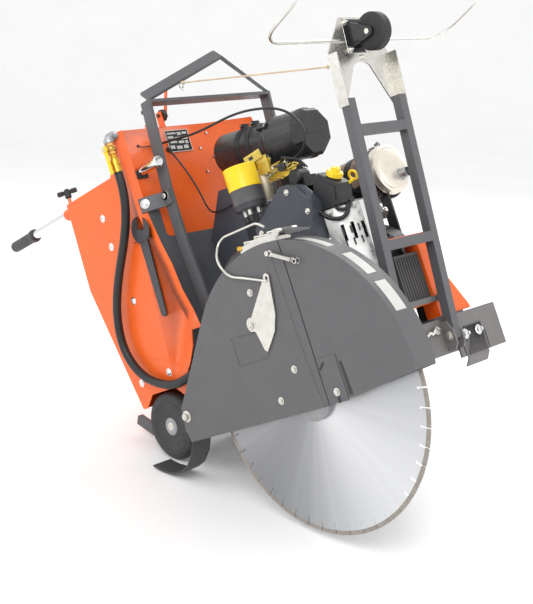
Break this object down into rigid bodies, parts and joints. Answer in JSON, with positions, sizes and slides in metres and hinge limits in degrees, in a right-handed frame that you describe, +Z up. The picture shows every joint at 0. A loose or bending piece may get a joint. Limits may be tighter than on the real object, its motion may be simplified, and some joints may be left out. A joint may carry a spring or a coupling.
{
  "type": "walk-behind masonry saw",
  "caption": "Walk-behind concrete and masonry saw with a large circular blade in a hinged guard, engine, console, slide-out handlebars and a raised front axle.",
  "frame": {"origin": "on the floor, under the middle of the whole object's bounding box", "axes": "+X forward, towards the pointer; +Y to the operator's left; +Z up"},
  "size_m": [1.7045, 0.675, 1.2241],
  "materials": {
    "orange_paint": "semi-gloss powder coat, lightly scuffed",
    "dark_grey_paint": "satin dark grey enamel",
    "light_grey_paint": "satin blue-grey enamel",
    "zinc": "zinc plate, slightly yellowed",
    "guard_grey": "satin grey powder coat, lightly scuffed",
    "cover_paint": "satin blue-black enamel",
    "chrome": "bright plate",
    "blade_steel": "ground and polished",
    "segment": "sintered, matt",
    "engine_alloy": "cast, satin",
    "black_paint": "satin black",
    "black_plastic": "moulded, satin",
    "yellow_plastic": "moulded, satin",
    "rubber": "matt black",
    "tyre": "solid rubber, dusty",
    "brass": "machined",
    "galvanised": "galvanised",
    "steel": "bare machined steel",
    "exhaust": "aluminised, heat stained",
    "rope": "braided cord",
    "red_plastic": "moulded"
  },
  "bodies": {
    "root": {"frame_rails": "dark_grey_paint", "deck_plate": "dark_grey_paint", "front_beam": "light_grey_paint", "side_panel_left": "orange_paint", "side_panel_right": "orange_paint", "console_front_panel": "orange_paint", "console_rear_panel": "orange_paint", "dash_panel": "orange_paint", "bail_legs": "dark_grey_paint", "bail_top": "dark_grey_paint", "engine_block": "engine_alloy", "belt_guard": "cover_paint", "cylinder_baffle": "zinc", "valve_covers": "black_paint", "air_cleaner": "black_paint", "muffler": "exhaust", "battery_box": "black_plastic", "front_frame": "orange_paint", "guard_rear": "guard_grey", "water_manifold": "zinc", "arbor_housing": "light_grey_paint", "transaxle": "light_grey_paint", "fuel_tank": "black_plastic", "drive_belts": "rubber", "lift_cylinder": "dark_grey_paint", "water_valve": "brass", "water_hose": "rubber", "rope": "rope", "throttle_cable": "black_plastic", "choke_cable": "black_plastic", "wrench": "dark_grey_paint", "splash_flap": "rubber", "fasteners": "zinc"},
    "rear_wheels": {"rear_tyres": "tyre", "rear_axle": "dark_grey_paint"},
    "front_arm": {"front_arm": "light_grey_paint"},
    "lift_rod": {"lift_rod": "steel"},
    "front_wheels": {"front_wheels": "tyre"},
    "pointer": {"pointer_ladder": "dark_grey_paint", "pointer_arch": "zinc", "pointer_rods": "zinc"},
    "caster_fork": {"caster_fork": "zinc"},
    "caster_wheel": {"caster_wheel": "rubber"},
    "guard_front": {"guard_front": "guard_grey", "guard_spring": "zinc"},
    "guard_latch": {"guard_latch": "zinc"},
    "blade": {"blade_core": "blade_steel", "blade_segments": "segment", "blade_shaft": "steel"},
    "crankshaft": {"crankshaft": "steel"},
    "handlebar_left": {"handlebar_left": "chrome"},
    "handlebar_right": {"handlebar_right": "chrome"},
    "clamp_knob_left": {"clamp_knob_left": "black_plastic"},
    "clamp_knob_right": {"clamp_knob_right": "black_plastic"},
    "throttle_knob": {"throttle_knob": "black_plastic"},
    "stop_button": {"stop_button": "red_plastic"},
    "ignition_key": {"ignition_key": "steel"},
    "drive_lever": {"drive_lever": "orange_paint"},
    "lift_switch": {"lift_switch": "black_plastic"},
    "valve_lever": {"valve_lever": "yellow_plastic"}
  },
  "joints": [
    {"name": "rear_wheels_spin", "type": "hinge", "parent": "root", "child": "rear_wheels", "pos_m": [-0.05593, 0.0085, 0.095], "axis": [0, 1, 0], "continuous": true},
    {"name": "front_axle_lift", "type": "hinge", "parent": "root", "child": "front_arm", "pos_m": [0.27743, 0.0165, 0.27898], "axis": [0, -1, 0], "range_deg": [0, 70.3]},
    {"name": "lift_rod_slide", "type": "slide", "parent": "root", "child": "lift_rod", "axis": [0.9042, 0, 0.427], "range_m": [-0.0903, 0]},
    {"name": "front_wheels_spin", "type": "hinge", "parent": "front_arm", "child": "front_wheels", "pos_m": [0.46984, 0.0165, 0.062], "axis": [0, 1, 0], "continuous": true},
    {"name": "pointer_fold", "type": "hinge", "parent": "root", "child": "pointer", "pos_m": [0.6226, 0.0085, 0.43093], "axis": [0, 1, 0], "range_deg": [0, 128]},
    {"name": "caster_swivel", "type": "hinge", "parent": "pointer", "child": "caster_fork", "pos_m": [0.37607, 0.0085, 1.14772], "axis": [0.9456, 0, 0.3252], "continuous": true},
    {"name": "caster_roll", "type": "hinge", "parent": "caster_fork", "child": "caster_wheel", "pos_m": [0.42188, 0.0085, 1.1529], "axis": [0, 1, 0], "continuous": true},
    {"name": "guard_front_hinge", "type": "hinge", "parent": "root", "child": "guard_front", "pos_m": [0.42458, -0.2885, 0.71674], "axis": [0, -1, 0], "range_deg": [0, 90], "deforming": ["guard_spring"]},
    {"name": "guard_latch_turn", "type": "hinge", "parent": "root", "child": "guard_latch", "pos_m": [0.35273, -0.3265, 0.48485], "axis": [0, -1, 0], "range_deg": [0, 12]},
    {"name": "blade_spin", "type": "hinge", "parent": "root", "child": "blade", "pos_m": [0.52228, -0.2915, 0.34595], "axis": [0, 1, 0], "continuous": true},
    {"name": "crank_spin", "type": "hinge", "parent": "root", "child": "crankshaft", "pos_m": [0.33866, -0.0415, 0.53571], "axis": [0, 1, 0], "continuous": true},
    {"name": "handlebar_left_slide", "type": "slide", "parent": "root", "child": "handlebar_left", "axis": [0.9042, 0, 0.427], "range_m": [-0.05, 0.19]},
    {"name": "clamp_knob_left_turn", "type": "hinge", "parent": "root", "child": "clamp_knob_left", "pos_m": [-0.53889, 0.2305, 0.67975], "axis": [-0.427, 0, 0.9042], "range_deg": [-180, 180]},
    {"name": "handlebar_right_slide", "type": "slide", "parent": "root", "child": "handlebar_right", "axis": [0.9042, 0, 0.427], "range_m": [-0.05, 0.19]},
    {"name": "clamp_knob_right_turn", "type": "hinge", "parent": "root", "child": "clamp_knob_right", "pos_m": [-0.53889, -0.2135, 0.67975], "axis": [-0.427, 0, 0.9042], "range_deg": [-180, 180]},
    {"name": "throttle_slide", "type": "slide", "parent": "root", "child": "throttle_knob", "axis": [-0.9751, 0, 0.2218], "range_m": [0, 0.03]},
    {"name": "stop_button_press", "type": "slide", "parent": "root", "child": "stop_button", "axis": [0.9751, 0, -0.2218], "range_m": [0, 0.006], "stiffness_N_per_m": 800, "springref_m": -0.003},
    {"name": "ignition_key_turn", "type": "hinge", "parent": "root", "child": "ignition_key", "pos_m": [-0.26858, 0.0685, 0.8052], "axis": [-0.9751, 0, 0.2218], "range_deg": [-90, 0]},
    {"name": "drive_lever_tilt", "type": "hinge", "parent": "root", "child": "drive_lever", "pos_m": [-0.30689, -0.0395, 0.91208], "axis": [0, 1, 0], "range_deg": [-25, 20]},
    {"name": "lift_switch_tilt", "type": "hinge", "parent": "root", "child": "lift_switch", "pos_m": [-0.29272, -0.1005, 0.9055], "axis": [0, 1, 0], "range_deg": [-12, 12], "stiffness_Nm_per_rad": 0.5},
    {"name": "valve_lever_turn", "type": "hinge", "parent": "root", "child": "valve_lever", "pos_m": [-0.24271, -0.2925, 0.84175], "axis": [0, 1, 0], "range_deg": [0, 90]}
  ],
  "couplings": [
    {"joint": "lift_rod_slide", "follows": "front_axle_lift", "m_per_rad": -0.073191},
    {"joint": "crank_spin", "follows": "blade_spin", "ratio": 1.2222}
  ]
}
